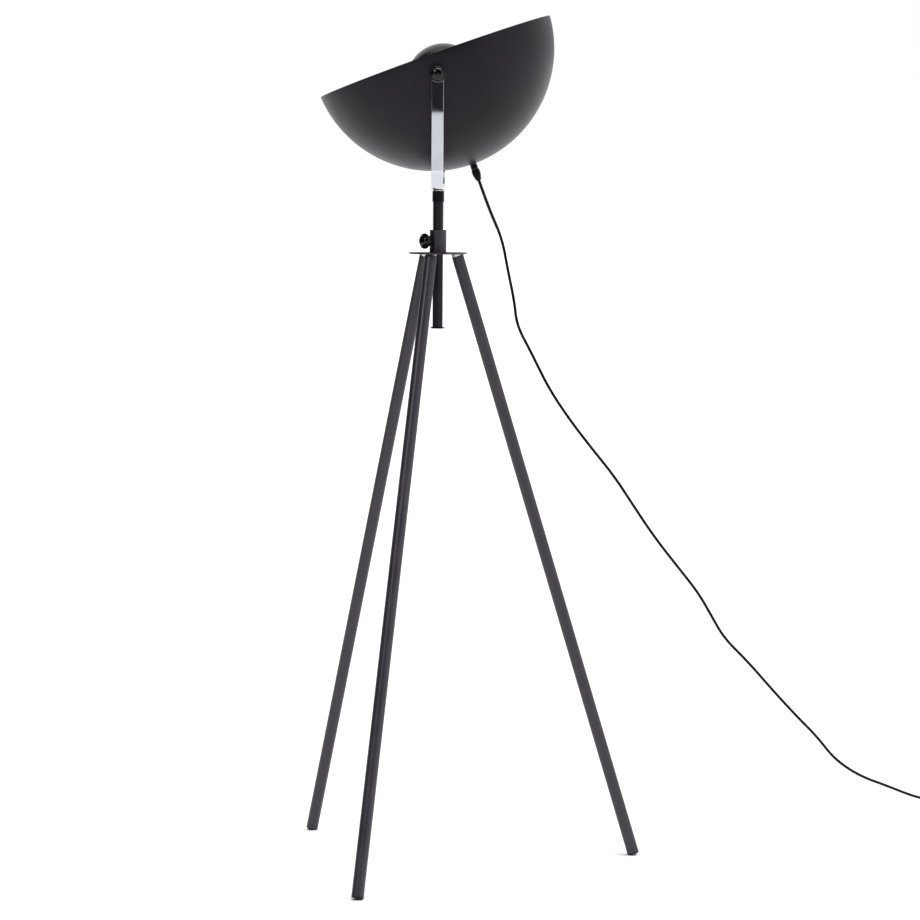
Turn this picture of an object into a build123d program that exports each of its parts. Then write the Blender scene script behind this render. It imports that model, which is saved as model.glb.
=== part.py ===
from build123d import *
import math
import os

# Tripod floor lamp with a spun dome shade carried in a bail.
# Millimetres, +Z up.  The origin is on the floor, on the stem's axis.
# The shade's tilt axis runs along Y, and the mouth of the shade leans towards -X.

os.makedirs("parts", exist_ok=True)

# ---------------------------------------------------------------- driving dimensions
# legs
leg_bearings = (-20.4, 99.6, 219.6)     # degrees from -Y towards +X
leg_splay = 16.97                       # degrees from vertical
leg_od = 22.0
leg_wall = 1.2
leg_top_radius = 36.0                   # centre of a leg's top end, from the stem's axis
stub_length = 56.0
section_length = 367.5                  # each of the three screwed sections of a leg
sections = ("upper", "middle", "lower")
foot_cap_length = 3.0
foot_flat = 0.9                         # how far a foot's low edge is flattened by the floor
joiner_length = 44.0
push_fit = 0.05                         # radial clearance of plugs inside tubes

# hub
plate_diameter = 106.0
plate_thickness = 3.0
collar_od = 31.0
collar_height = 40.8
clamp_height = 20.6                     # clamp screw above the collar's foot
clamp_bearing = -54.5                   # degrees from -Y towards +X

# stem and swivel
stem_od = 19.0
stem_wall = 1.2
fit = 0.08                              # radial clearance of running fits
stem_drop = 133.0                       # stem tube below the hub plate
exposed_stem = 50.0                     # stem tube above the collar
stem_cap_flange = 26.0
bush_od = 21.3
bush_height = 20.5

# bail
bail_width = 21.0
bail_thickness = 4.0
bail_inside = 225.5                     # half the gap between the arms
pivot_above_bail = 201.0                # tilt axis above the bail's underside
bail_chamfer = 30.0

# shade
shade_tilt = 19.9                       # degrees, mouth towards -X
shade_radius = 220.5
shade_wall = 1.2
shade_depth = 205.5
pivot_below_rim = 37.2
pivot_off_axis = 6.0                    # trunnion holes sit on the raised side of the dome's axis
rim_hem = 6.0

# screws, knobs and flex
screw_d = 6.0
knob_d = 28.5
cord_d = 5.5
gland_length = 30.0

# ---------------------------------------------------------------- derived places
splay = math.radians(leg_splay)
leg_length = stub_length + len(sections) * section_length + foot_cap_length
end_drop = leg_od / 2 * math.sin(splay)
plate_z = leg_length * math.cos(splay) + 2 * end_drop - foot_flat
plate_top = plate_z + plate_thickness
collar_top = plate_top + collar_height
stem_bottom = plate_z - stem_drop
stem_top = collar_top + exposed_stem
bush_top = stem_top + bush_height
bail_z = bush_top + 4.0                 # two washers of 1 and 3 mm lie between
pivot_z = bail_z + pivot_above_bail


def save(part, name):
    part.label = name
    export_step(part, f"parts/{name}.step")


def leg_plane(bearing, along):
    """Plane square to a leg, at a distance along it, with its normal down the leg."""
    turn = math.radians(bearing)
    out = Vector(math.sin(turn), -math.cos(turn), 0)
    down = out * math.sin(splay) + Vector(0, 0, -math.cos(splay))
    top = out * leg_top_radius + Vector(0, 0, plate_z - end_drop)
    return Plane(origin=top + down * along, x_dir=out.cross(down), z_dir=down)


# ---------------------------------------------------------------- hub
with BuildPart() as hub_plate:
    with BuildSketch(Plane.XY.offset(plate_z)):
        Circle(plate_diameter / 2)
        Circle(stem_od / 2 + 0.5, mode=Mode.SUBTRACT)
    extrude(amount=plate_thickness)
    chamfer(hub_plate.edges().filter_by(GeomType.CIRCLE).sort_by(SortBy.RADIUS)[-2:], 0.5)
save(hub_plate.part, "hub_plate")

clamp_turn = math.radians(clamp_bearing)
clamp_out = Vector(math.sin(clamp_turn), -math.cos(clamp_turn), 0)
clamp_centre = Vector(0, 0, plate_top + clamp_height)


def clamp_plane(out):
    return Plane(origin=clamp_centre + clamp_out * out, x_dir=(0, 0, 1), z_dir=clamp_out)


with BuildPart() as hub_collar:
    with BuildSketch(Plane.XY.offset(plate_top)):
        Circle(collar_od / 2)
        Circle(stem_od / 2 + fit, mode=Mode.SUBTRACT)
    extrude(amount=collar_height)
    chamfer(hub_collar.edges().filter_by(GeomType.CIRCLE).group_by(Axis.Z)[-1], 0.6)
    with BuildSketch(clamp_plane(0)):
        Circle(screw_d / 2 + fit)
    extrude(amount=collar_od, mode=Mode.SUBTRACT)
save(hub_collar.part, "hub_collar")

# ---------------------------------------------------------------- legs
leg_bore = leg_od / 2 - leg_wall
stud_d = 10.0
stud_length = 20.0
insert_length = 26.0
foot_plug_length = 18.0
wedge_parts = []
insert_parts = []
joiner_parts = []
foot_parts = []
for number, bearing in enumerate(leg_bearings, start=1):
    # wedge of bright zinc-plated steel under the plate, with a stud down the leg
    with BuildPart() as leg_wedge:
        with BuildSketch(leg_plane(bearing, 0)):
            Circle(leg_od / 2 - 0.5)
        extrude(amount=-2.5 * end_drop)
        split(bisect_by=Plane.XY.offset(plate_z), keep=Keep.BOTTOM)
        with BuildSketch(leg_plane(bearing, 0)):
            Circle(stud_d / 2)
        extrude(amount=stud_length)
    wedge_parts.append(leg_wedge.part)

    # threaded plug pressed into the top of the stub
    with BuildPart() as leg_insert:
        with BuildSketch(leg_plane(bearing, 0.5)):
            Circle(leg_bore - push_fit)
            Circle(stud_d / 2 + push_fit, mode=Mode.SUBTRACT)
        extrude(amount=insert_length)
    insert_parts.append(leg_insert.part)

    with BuildPart() as leg_stub:
        with BuildSketch(leg_plane(bearing, 0)):
            Circle(leg_od / 2)
            Circle(leg_bore, mode=Mode.SUBTRACT)
        extrude(amount=stub_length)
    save(leg_stub.part, f"leg_stub_{number}")

    for index, section in enumerate(sections):
        start = stub_length + index * section_length
        with BuildPart() as leg_section:
            with BuildSketch(leg_plane(bearing, start)):
                Circle(leg_od / 2)
                Circle(leg_bore, mode=Mode.SUBTRACT)
            extrude(amount=section_length)
        save(leg_section.part, f"leg_{section}_{number}")

        # threaded spigot inside the seam, half in each tube
        with BuildPart() as leg_joiner:
            with BuildSketch(leg_plane(bearing, start - joiner_length / 2)):
                Circle(leg_bore - push_fit)
                Circle(leg_bore - 3.0, mode=Mode.SUBTRACT)
            extrude(amount=joiner_length)
        joiner_parts.append(leg_joiner.part)

    # rubber foot: a plug in the tube and a rounded disc under it, flat where it stands
    with BuildPart() as foot_cap:
        with BuildSketch(leg_plane(bearing, leg_length - foot_cap_length)):
            Circle(leg_od / 2)
        extrude(amount=foot_cap_length)
        fillet(foot_cap.edges().filter_by(GeomType.CIRCLE).sort_by(Axis.Z)[0], 1.6)
        with BuildSketch(leg_plane(bearing, leg_length - foot_cap_length)):
            Circle(leg_bore - push_fit)
            Circle(leg_bore - 2.5, mode=Mode.SUBTRACT)
        extrude(amount=-foot_plug_length)
        split(bisect_by=Plane.XY, keep=Keep.TOP)
    foot_parts.append(foot_cap.part)

save(Compound(children=wedge_parts), "leg_wedges")
save(Compound(children=insert_parts), "leg_inserts")
save(Compound(children=joiner_parts), "leg_joiners")
save(Compound(children=foot_parts), "foot_caps")


# ---------------------------------------------------------------- stem and swivel
with BuildPart() as stem_tube:
    with BuildSketch(Plane.XY.offset(stem_bottom)):
        Circle(stem_od / 2)
        Circle(stem_od / 2 - stem_wall, mode=Mode.SUBTRACT)
    extrude(amount=stem_top - stem_bottom)
save(stem_tube.part, "stem_tube")

stem_plug = stem_od / 2 - stem_wall - push_fit
with BuildPart() as stem_end_cap:
    with BuildSketch(Plane.XY.offset(stem_bottom)):
        Circle(stem_cap_flange / 2)
    extrude(amount=-2.5)
    fillet(stem_end_cap.edges().sort_by(Axis.Z)[0], 0.8)
    with BuildSketch(Plane.XY.offset(stem_bottom)):
        Circle(stem_plug)
        Circle(stem_plug - 2, mode=Mode.SUBTRACT)
    extrude(amount=16)
save(stem_end_cap.part, "stem_end_cap")

swivel_d = 8.0
swivel_head_d = 14.0
swivel_head_height = 4.0
bolt_depth = 24.0
with BuildPart() as swivel_bush:
    with BuildSketch(Plane.XY.offset(stem_top)):
        Circle(bush_od / 2)
    extrude(amount=bush_height)
    chamfer(swivel_bush.edges().filter_by(GeomType.CIRCLE), 0.8)
    with BuildSketch(Plane.XY.offset(stem_top)):
        Circle(stem_plug)
    extrude(amount=-24)
    with BuildSketch(Plane.XY.offset(bush_top)):
        Circle(swivel_d / 2 + push_fit)
    extrude(amount=-bolt_depth - 1, mode=Mode.SUBTRACT)
save(swivel_bush.part, "swivel_bush")

with BuildPart() as wave_washer:
    with BuildSketch(Plane.XY.offset(bush_top)):
        Circle(9.0)
        Circle(swivel_d / 2 + 0.3, mode=Mode.SUBTRACT)
    extrude(amount=1.0)
save(wave_washer.part, "wave_washer")

with BuildPart() as friction_washer:
    with BuildSketch(Plane.XY.offset(bush_top + 1.0)):
        Circle(10.0)
        Circle(swivel_d / 2 + 0.3, mode=Mode.SUBTRACT)
    extrude(amount=bail_z - bush_top - 1.0)
save(friction_washer.part, "friction_washer")

with BuildPart() as swivel_bolt:
    with BuildSketch(Plane.XY.offset(bail_z + bail_thickness)):
        Circle(swivel_head_d / 2)
    extrude(amount=swivel_head_height)
    fillet(swivel_bolt.edges().sort_by(Axis.Z)[-1], 2.0)
    with BuildSketch(Plane.XY.offset(bail_z + bail_thickness + swivel_head_height)):
        RegularPolygon(2.9, 6)
    extrude(amount=-2.5, mode=Mode.SUBTRACT)
    with BuildSketch(Plane.XY.offset(bail_z + bail_thickness)):
        Circle(swivel_d / 2)
    extrude(amount=-(bail_z + bail_thickness - bush_top) - bolt_depth)
save(swivel_bolt.part, "swivel_bolt")

# ---------------------------------------------------------------- bail
# one flat bar bent to a U, its lower corners folded at 45 degrees in two bends
bail_outside = bail_inside + bail_thickness
arm_end = bail_width / 2 - 1.5
bend_radius = 7.0
chamfer_shift = bail_thickness * math.tan(math.radians(22.5))
with BuildPart() as bail:
    with BuildSketch(Plane.YZ):
        with BuildLine():
            outer = Polyline(
                (-bail_outside, pivot_z + arm_end),
                (-bail_outside, bail_z + bail_chamfer),
                (-bail_outside + bail_chamfer, bail_z),
                (bail_outside - bail_chamfer, bail_z),
                (bail_outside, bail_z + bail_chamfer),
                (bail_outside, pivot_z + arm_end),
            )
            inner = Polyline(
                (bail_outside, pivot_z + arm_end),
                (bail_inside, pivot_z + arm_end),
                (bail_inside, bail_z + bail_chamfer + chamfer_shift),
                (bail_outside - bail_chamfer - chamfer_shift, bail_z + bail_thickness),
                (-bail_outside + bail_chamfer + chamfer_shift, bail_z + bail_thickness),
                (-bail_inside, bail_z + bail_chamfer + chamfer_shift),
                (-bail_inside, pivot_z + arm_end),
                (-bail_outside, pivot_z + arm_end),
            )
        make_face()
    extrude(amount=bail_width / 2, both=True)
    bends = bail.edges().filter_by(Axis.X).filter_by(lambda e: e.center().Z < pivot_z - 20)
    outer_bends = bends.filter_by(lambda e: abs(e.center().Y) > bail_inside or e.center().Z < bail_z + 1)
    inner_bends = bends.filter_by(lambda e: abs(e.center().Y) < bail_inside + 1 and e.center().Z > bail_z + 1)
    fillet(outer_bends, bend_radius + bail_thickness)
    fillet(inner_bends, bend_radius)
    fillet(bail.edges().filter_by(Axis.Y).group_by(Axis.Z)[-1], bail_width / 2 - 1)
    with BuildSketch(Plane.XY.offset(bail_z)):
        Circle(swivel_d / 2 + fit)
    extrude(amount=bail_thickness, mode=Mode.SUBTRACT)
    with BuildSketch(Plane.XZ.offset(-bail_outside)):
        with Locations((0, pivot_z)):
            Circle(screw_d / 2 + fit)
    extrude(amount=2 * bail_outside, mode=Mode.SUBTRACT)
save(bail.part, "bail")

# ---------------------------------------------------------------- shade
tilt = math.radians(shade_tilt)
to_mouth = Vector(-math.sin(tilt), 0, math.cos(tilt))
across = Vector(math.cos(tilt), 0, math.sin(tilt))
pivot = Vector(0, 0, pivot_z)
rim_centre = pivot + to_mouth * pivot_below_rim + across * pivot_off_axis
apex = rim_centre - to_mouth * shade_depth
shade_axis = Axis(apex, to_mouth)
# profiles of turned pieces: x is the radius, y the height from the apex towards the mouth
profile = Plane(origin=apex, x_dir=across, z_dir=(0, -1, 0))
nipple_d = 10.0


def turned(points):
    """Piece turned about the shade's axis from an outline of (radius, height) points."""
    with BuildPart() as piece:
        with BuildSketch(profile):
            with BuildLine():
                Polyline(points, close=True)
            make_face()
        revolve(axis=shade_axis)
    return piece.part


def on_sphere(radius, depth):
    return math.sqrt(radius ** 2 - (shade_radius - depth) ** 2)


inner_radius = shade_radius - shade_wall
hole = nipple_d / 2 + push_fit
hole_outer = shade_radius - math.sqrt(shade_radius ** 2 - hole ** 2)
hole_inner = shade_radius - math.sqrt(inner_radius ** 2 - hole ** 2)
half_outer = (shade_radius * math.sin(0.7), shade_radius * (1 - math.cos(0.7)))
half_inner = (inner_radius * math.sin(0.7), shade_radius - inner_radius * math.cos(0.7))
boss_d = 18.0
boss_inside = 203.0
boss_flange = 3.0
pivot_washer = 2.0
boss_end = bail_inside - pivot_washer
with BuildPart() as shade_dome:
    with BuildSketch(profile):
        with BuildLine():
            ThreePointArc((hole, hole_outer), half_outer, (on_sphere(shade_radius, shade_depth), shade_depth))
            Line((on_sphere(shade_radius, shade_depth), shade_depth),
                 (on_sphere(inner_radius, shade_depth) - 1.4, shade_depth))
            Line((on_sphere(inner_radius, shade_depth) - 1.4, shade_depth),
                 (on_sphere(inner_radius, shade_depth) - 1.4, shade_depth - rim_hem))
            Line((on_sphere(inner_radius, shade_depth) - 1.4, shade_depth - rim_hem),
                 (on_sphere(inner_radius, shade_depth - rim_hem), shade_depth - rim_hem))
            ThreePointArc((on_sphere(inner_radius, shade_depth - rim_hem), shade_depth - rim_hem),
                          half_inner, (hole, hole_inner))
            Line((hole, hole_inner), (hole, hole_outer))
        make_face()
    revolve(axis=shade_axis)
    with BuildSketch(Plane.XZ.offset(-bail_inside)):
        with Locations((0, pivot_z)):
            Circle(boss_d / 2 + push_fit)
    extrude(amount=2 * bail_inside, mode=Mode.SUBTRACT)
save(shade_dome.part, "shade_dome")

# turned steel boss welded through each side of the dome, threaded for the pivot screw
sides = {"front": -1, "back": 1}


def pivot_plane(side, distance):
    """Plane square to the tilt axis, facing outwards on one side of the shade."""
    return Plane(origin=(0, side * distance, pivot_z), x_dir=(1, 0, 0), z_dir=(0, side, 0))


def ring(plane, outer, inner, height):
    """Plain washer, bush or spacer."""
    with BuildPart() as washer:
        with BuildSketch(plane):
            Circle(outer)
            Circle(inner, mode=Mode.SUBTRACT)
        extrude(amount=height)
    return washer.part


boss_parts = []
washer_parts = []
for name, side in sides.items():
    with BuildPart() as pivot_boss:
        with BuildSketch(pivot_plane(side, boss_inside)):
            Circle(13.0)
        extrude(amount=boss_flange)
        with BuildSketch(pivot_plane(side, boss_inside + boss_flange)):
            Circle(boss_d / 2)
        extrude(amount=boss_end - boss_inside - boss_flange)
        with BuildSketch(pivot_plane(side, boss_inside)):
            Circle(screw_d / 2 + fit)
        extrude(amount=boss_end - boss_inside, mode=Mode.SUBTRACT)
    boss_parts.append(pivot_boss.part)
    washer_parts.append(ring(pivot_plane(side, boss_end), 12.0, screw_d / 2 + 0.3, pivot_washer))
save(Compound(children=boss_parts), "pivot_bosses")
save(Compound(children=washer_parts), "pivot_washers")

# ---------------------------------------------------------------- lamp holder on the dome's axis
gland_root = 10.0
carrier_z = 2.8                         # the carrier's edge rests on the inside of the dome
carrier_radius = 26.0
carrier_thickness = 1.5
holder_z = carrier_z + carrier_thickness
save(turned([(nipple_d / 2 - 1.5, -6), (nipple_d / 2, -6), (nipple_d / 2, holder_z + 8),
             (nipple_d / 2 - 1.5, holder_z + 8)]), "nipple")

# cord gland under the apex: a slim body, and a wider clamping cap that tapers to the flex
save(turned([(cord_d / 2 + 0.15, -gland_root), (6.4, -gland_root), (6.4, -0.6), (5.9, -0.1),
             (hole, -0.1), (hole, -6.5), (cord_d / 2 + 0.15, -6.5)]), "gland_body")
save(turned([(0, -gland_length), (4.9, -gland_length), (7.0, -21.5), (7.5, -19.5), (7.5, -12.5),
             (6.6, -gland_root), (0, -gland_root)]), "gland_cap")

# carrier of the inner cap: a disc on the holder's nipple and three rods that lean outwards
rod_d = 3.0
rod_count = 3
cap_radius = 68.0
cap_proud = 20.0
cap_wall = 1.0
cap_depth = 52.0
cap_apex = shade_depth + cap_proud
cap_edge = cap_apex - cap_depth
rod_top_radius = math.sqrt(cap_radius ** 2 - (cap_radius - cap_depth) ** 2) - 7.0
rod_base_radius = carrier_radius - 2.5
with BuildPart() as cap_carrier:
    with BuildSketch(profile):
        with BuildLine():
            Polyline([(hole, carrier_z), (carrier_radius, carrier_z),
                      (carrier_radius, holder_z), (hole, holder_z)], close=True)
        make_face()
    revolve(axis=shade_axis)
rod_parts = []
for step in range(rod_count):
    turn = math.radians(60 + 360 / rod_count * step)
    out = across * math.cos(turn) + Vector(0, 1, 0) * math.sin(turn)
    foot = apex + to_mouth * holder_z + out * rod_base_radius
    head = apex + to_mouth * (cap_edge + 1.0) + out * rod_top_radius
    with BuildPart() as cap_rod:
        with BuildSketch(Plane(origin=foot, z_dir=head - foot)):
            Circle(rod_d / 2)
        extrude(amount=(head - foot).length)
        split(bisect_by=Plane(origin=apex + to_mouth * holder_z, z_dir=to_mouth), keep=Keep.TOP)
        split(bisect_by=Plane(origin=apex + to_mouth * cap_edge, z_dir=to_mouth), keep=Keep.BOTTOM)
    rod_parts.append(cap_rod.part)
save(cap_carrier.part, "cap_carrier")
save(Compound(children=rod_parts), "cap_rods")

# inner cap: a small dome with its open side to the bulb and a narrow flange for the rods
cap_outer_edge = math.sqrt(cap_radius ** 2 - (cap_radius - cap_depth) ** 2)
cap_inner_edge = math.sqrt((cap_radius - cap_wall) ** 2 - (cap_radius - cap_depth) ** 2)
cap_centre = cap_apex - cap_radius
cap_inner = cap_radius - cap_wall
flange_at = cap_edge + cap_wall
flange_edge = math.sqrt(cap_inner ** 2 - (cap_centre - flange_at) ** 2)
with BuildPart() as inner_cap:
    with BuildSketch(profile):
        with BuildLine():
            ThreePointArc((cap_outer_edge, cap_edge),
                          (cap_radius * math.sin(0.8), cap_centre + cap_radius * math.cos(0.8)),
                          (0, cap_apex))
            Line((0, cap_apex), (0, cap_apex - cap_wall))
            ThreePointArc((0, cap_apex - cap_wall),
                          (cap_inner * math.sin(0.8), cap_centre + cap_inner * math.cos(0.8)),
                          (flange_edge, flange_at))
            Line((flange_edge, flange_at), (rod_top_radius - 5, flange_at))
            Line((rod_top_radius - 5, flange_at), (rod_top_radius - 5, cap_edge))
            Line((rod_top_radius - 5, cap_edge), (cap_outer_edge, cap_edge))
        make_face()
    revolve(axis=shade_axis)
save(inner_cap.part, "inner_cap")

# E27 holder: cap, skirt, insulator, screw shell and centre contact
holder_r = 20.0
holder_height = 46.0
holder_top = holder_z + holder_height
save(turned([(hole, holder_z), (15, holder_z), (holder_r, holder_z + 5), (holder_r, holder_z + 18),
             (holder_r - 2, holder_z + 18), (holder_r - 2, holder_z + 6), (14, holder_z + 2),
             (hole, holder_z + 2)]), "holder_cap")
save(turned([(holder_r - 3, holder_z + 18), (holder_r, holder_z + 18), (holder_r, holder_top),
             (holder_r - 4.5, holder_top), (holder_r - 4.5, holder_z + 40), (holder_r - 3, holder_z + 38)]),
     "holder_skirt")
save(turned([(0, holder_z + 10), (holder_r - 2.3, holder_z + 10), (holder_r - 2.3, holder_z + 17.8),
             (holder_r - 3.3, holder_z + 17.8), (holder_r - 3.3, holder_z + 19), (0, holder_z + 19)]),
     "holder_insulator")
save(turned([(13.6, holder_z + 19), (14.2, holder_z + 19), (14.2, holder_z + 40), (13.6, holder_z + 40)]),
     "holder_screw_shell")
save(turned([(0, holder_z + 19), (3.5, holder_z + 19), (3.0, holder_z + 20.4), (0, holder_z + 20.4)]),
     "holder_contact")

# bulb: nickel screw base and a frosted glass envelope
base_z = holder_z + 20.4
save(turned([(0, base_z), (4.0, base_z), (5.0, base_z + 2), (13.1, base_z + 5), (13.1, base_z + 27),
             (0, base_z + 27)]), "bulb_base")
glass_z = base_z + 27
with BuildPart() as bulb_glass:
    with BuildSketch(profile):
        with BuildLine():
            Line((0, glass_z), (12.5, glass_z))
            Spline((12.5, glass_z), (18, glass_z + 18), (30, glass_z + 50), tangents=((0, 1), (0, 1)))
            Line((30, glass_z + 50), (30, glass_z + 51))
            JernArc((30, glass_z + 51), (0, 1), 30, 90)
            Line((0, glass_z + 81), (0, glass_z))
        make_face()
    revolve(axis=shade_axis)
save(bulb_glass.part, "bulb_glass")

# ---------------------------------------------------------------- thumb screws
# three alike: a moulded knob on an M6 screw, behind a nylon washer or with a nylon tip; the
# clamp's has a longer neck
washer_thickness = 2.0
tilt_neck = 2.5
clamp_neck = 10.5
knob_head = 11.0
thread_in_knob = 9.0
pad_thickness = 2.0


def thumb_knob(plane, neck):
    """Moulded knob: a neck, a rim with a rounded edge, and a low ball that stands in the rim."""
    rim = knob_d / 2
    top = neck + knob_head
    with BuildPart() as knob:
        with BuildSketch(Plane(origin=plane.origin, x_dir=plane.x_dir, z_dir=-plane.y_dir)):
            with BuildLine():
                Polyline((0, thread_in_knob + 0.5), (screw_d / 2 + push_fit, thread_in_knob + 0.5),
                         (screw_d / 2 + push_fit, 0), (8.0, 0), (8.0, neck),
                         (rim - 1.0, neck), (rim, neck + 1.0), (rim, top - 6.2))
                ThreePointArc((rim, top - 6.2), (rim - 0.4, top - 5.2), (rim - 1.4, top - 4.8))
                Polyline((rim - 1.4, top - 4.8), (rim - 2.0, top - 5.8), (rim - 3.2, top - 5.8))
                TangentArc((0, top), (rim - 3.2, top - 5.8), tangent=(1, 0))
                Line((0, top), (0, thread_in_knob + 0.5))
            make_face()
        revolve(axis=Axis(plane.origin, plane.z_dir))
    return knob.part


def rod(plane, diameter, length):
    """Plain shank of a screw."""
    with BuildPart() as shank:
        with BuildSketch(plane):
            Circle(diameter / 2)
        extrude(amount=length)
    return shank.part


for name, side in sides.items():
    start = bail_outside
    save(ring(pivot_plane(side, start), 10.0, screw_d / 2 + 0.3, washer_thickness), f"knob_washer_{name}")
    start += washer_thickness
    save(thumb_knob(pivot_plane(side, start), tilt_neck), f"tilt_knob_{name}")
    tip = boss_inside + 6.0
    save(rod(pivot_plane(side, tip), screw_d, start + thread_in_knob - tip), f"tilt_screw_{name}")

# the clamp screw turns on a nylon pad, whose spigot is held in a blind hole in the screw's end
pad_start = stem_od / 2 + 0.1
screw_start = pad_start + pad_thickness + 0.05
knob_start = collar_od / 2 + 0.6
spigot_d = 3.0
spigot_length = 3.0
with BuildPart() as clamp_pad:
    with BuildSketch(clamp_plane(pad_start)):
        Circle(screw_d / 2 - 0.1)
    extrude(amount=pad_thickness)
    with BuildSketch(clamp_plane(pad_start)):
        Circle(spigot_d / 2)
    extrude(amount=pad_thickness + spigot_length)
save(clamp_pad.part, "clamp_pad")
with BuildPart() as clamp_screw:
    with BuildSketch(clamp_plane(screw_start)):
        Circle(screw_d / 2)
    extrude(amount=knob_start + thread_in_knob - screw_start)
    with BuildSketch(clamp_plane(screw_start)):
        Circle(spigot_d / 2 + push_fit)
    extrude(amount=spigot_length + 0.2, mode=Mode.SUBTRACT)
save(clamp_screw.part, "clamp_screw")
save(thumb_knob(clamp_plane(knob_start), clamp_neck), "clamp_knob")

# ---------------------------------------------------------------- flex, foot switch and plug
# the flex hangs from the gland to the floor behind the lamp and on to the foot switch
gland_end = apex - to_mouth * gland_length
flex_out = gland_end - to_mouth * 26
flex_route = [
    (97, 13, 1188), (117, 29, 1143), (128, 37, 1085), (140, 45, 1030), (145, 49, 985),
    (172, 65, 935), (205, 88, 868), (245, 114, 808), (288, 143, 752), (332, 173, 697), (368, 196, 642),
    (410, 224, 579), (455, 254, 521), (500, 284, 464), (528, 303, 415), (553, 320, 372), (602, 351, 322),
    (648, 383, 268), (698, 416, 212), (748, 449, 160), (785, 474, 112), (838, 508, 73), (900, 551, 45),
    (958, 590, 17), (1000, 613, 5), (1030, 624, 7), (1058, 606, 9), (1062, 576, 9),
]
switch_start = Vector(1062, 576, 0)
switch_along = Vector(4, -30, 0).normalized()
switch_length = 70.0
switch_end = switch_start + switch_along * switch_length
switch_split = 9.0
lift = Vector(0, 0, switch_split)
lead_route = [switch_end + lift, switch_end + switch_along * 20 + lift, (1074, 456, 4), (1071.7, 425, 2.9)]


def flex(points):
    """Round flex along straight runs joined by arcs as large as their runs allow."""
    line = [Vector(p) for p in points]
    radii = []
    for before, corner, after in zip(line, line[1:], line[2:]):
        turn = math.radians((corner - before).get_angle(after - corner))
        shorter = min((corner - before).length, (after - corner).length)
        radii.append(0.45 * shorter / math.tan(turn / 2))
    with BuildPart() as tube:
        with BuildLine() as path:
            FilletPolyline(*line, radius=radii)
        with BuildSketch(Plane(origin=line[0], z_dir=line[1] - line[0])):
            Circle(cord_d / 2)
        sweep()
    print("flex length", round(sum(e.length for e in path.edges())))
    return tube.part


save(flex([gland_end, flex_out] + flex_route), "flex_tube")
save(flex(lead_route), "flex_lead")

# foot switch: two shells, a push button on a spring, and the switch inside
switch_width = 36.0
switch_height = 19.0
shell_wall = 2.0
button_d = 22.0
button_proud = 4.0
button_travel = 3.0
switch_centre = (switch_start + switch_end) * 0.5


def switch_plane(height):
    return Plane(origin=switch_centre + Vector(0, 0, height), x_dir=switch_along, z_dir=(0, 0, 1))


# round hole for the cores of the flex along the switch, half in each shell
core_bore = rod(Plane(origin=switch_start + lift, z_dir=switch_along),
                cord_d - 0.8, switch_length)

with BuildPart() as switch_base:
    with BuildSketch(switch_plane(0)):
        RectangleRounded(switch_length, switch_width, 13)
    extrude(amount=switch_split)
    chamfer(switch_base.edges().group_by(Axis.Z)[0], 0.8)
    with BuildSketch(switch_plane(shell_wall)):
        RectangleRounded(switch_length - 2 * shell_wall, switch_width - 2 * shell_wall, 11)
    extrude(amount=switch_split, mode=Mode.SUBTRACT)
    add(core_bore, mode=Mode.SUBTRACT)
save(switch_base.part, "switch_base")

with BuildPart() as switch_cover:
    with BuildSketch(switch_plane(switch_split)):
        RectangleRounded(switch_length, switch_width, 13)
    extrude(amount=switch_height - switch_split)
    fillet(switch_cover.edges().group_by(Axis.Z)[-1], 4)
    with BuildSketch(switch_plane(switch_split)):
        RectangleRounded(switch_length - 2 * shell_wall, switch_width - 2 * shell_wall, 11)
    extrude(amount=switch_height - switch_split - shell_wall - 1, mode=Mode.SUBTRACT)
    with BuildSketch(switch_plane(switch_split)):
        Circle(button_d / 2 + 0.3)
    extrude(amount=switch_height, mode=Mode.SUBTRACT)
    add(core_bore, mode=Mode.SUBTRACT)
save(switch_cover.part, "switch_cover")

module_top = 9.0
with BuildPart() as switch_module:
    with BuildSketch(switch_plane(shell_wall)):
        RectangleRounded(20, 16, 1)
    extrude(amount=module_top - shell_wall)
save(switch_module.part, "switch_module")

# the collar is wider than the cover's hole and stops the button from coming out
with BuildPart() as switch_button:
    with BuildSketch(switch_plane(module_top + button_travel + 0.3)):
        Circle(button_d / 2)
    extrude(amount=switch_height + button_proud - module_top - button_travel - 0.3)
    fillet(switch_button.edges().group_by(Axis.Z)[-1], 2)
    with BuildSketch(switch_plane(module_top + button_travel + 0.3)):
        Circle(button_d / 2 + 1.5)
    extrude(amount=3.5)
save(switch_button.part, "switch_button")

# the rest of the flex is wound into a flat coil, up to three strands wide, with the plug beside it
coil_centre = (1036, 425)
coil_inner = 21.9
coil_outer = 38.5
coil_height = 5.6
with BuildPart() as flex_coil:
    with BuildSketch(Plane.XY):
        with Locations(coil_centre):
            Circle(coil_outer)
            Circle(coil_inner, mode=Mode.SUBTRACT)
    extrude(amount=coil_height)
    fillet(flex_coil.edges(), 2.5)
save(flex_coil.part, "flex_coil")

tail_route = [(1044, 397, 7.6), (1036, 384, 8.6), (1026, 366, 7.3), (1018, 350, 7.3)]
save(flex(tail_route), "flex_tail")

plug_start = Vector(1018, 350, 7.3)
plug_along = Vector(-8, -16, 0).normalized()


def plug_plane(distance):
    return Plane(origin=plug_start + plug_along * distance, x_dir=(0, 0, 1), z_dir=plug_along)


with BuildPart() as plug_body:
    with BuildSketch(plug_plane(0)):
        Circle(3.6)
    with BuildSketch(plug_plane(20)):
        Circle(5.5)
    loft()
    with BuildSketch(plug_plane(20)):
        RectangleRounded(13.5, 26, 4)
    with BuildSketch(plug_plane(44)):
        RectangleRounded(14.5, 35, 5)
    loft()
save(plug_body.part, "plug_body")

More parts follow.
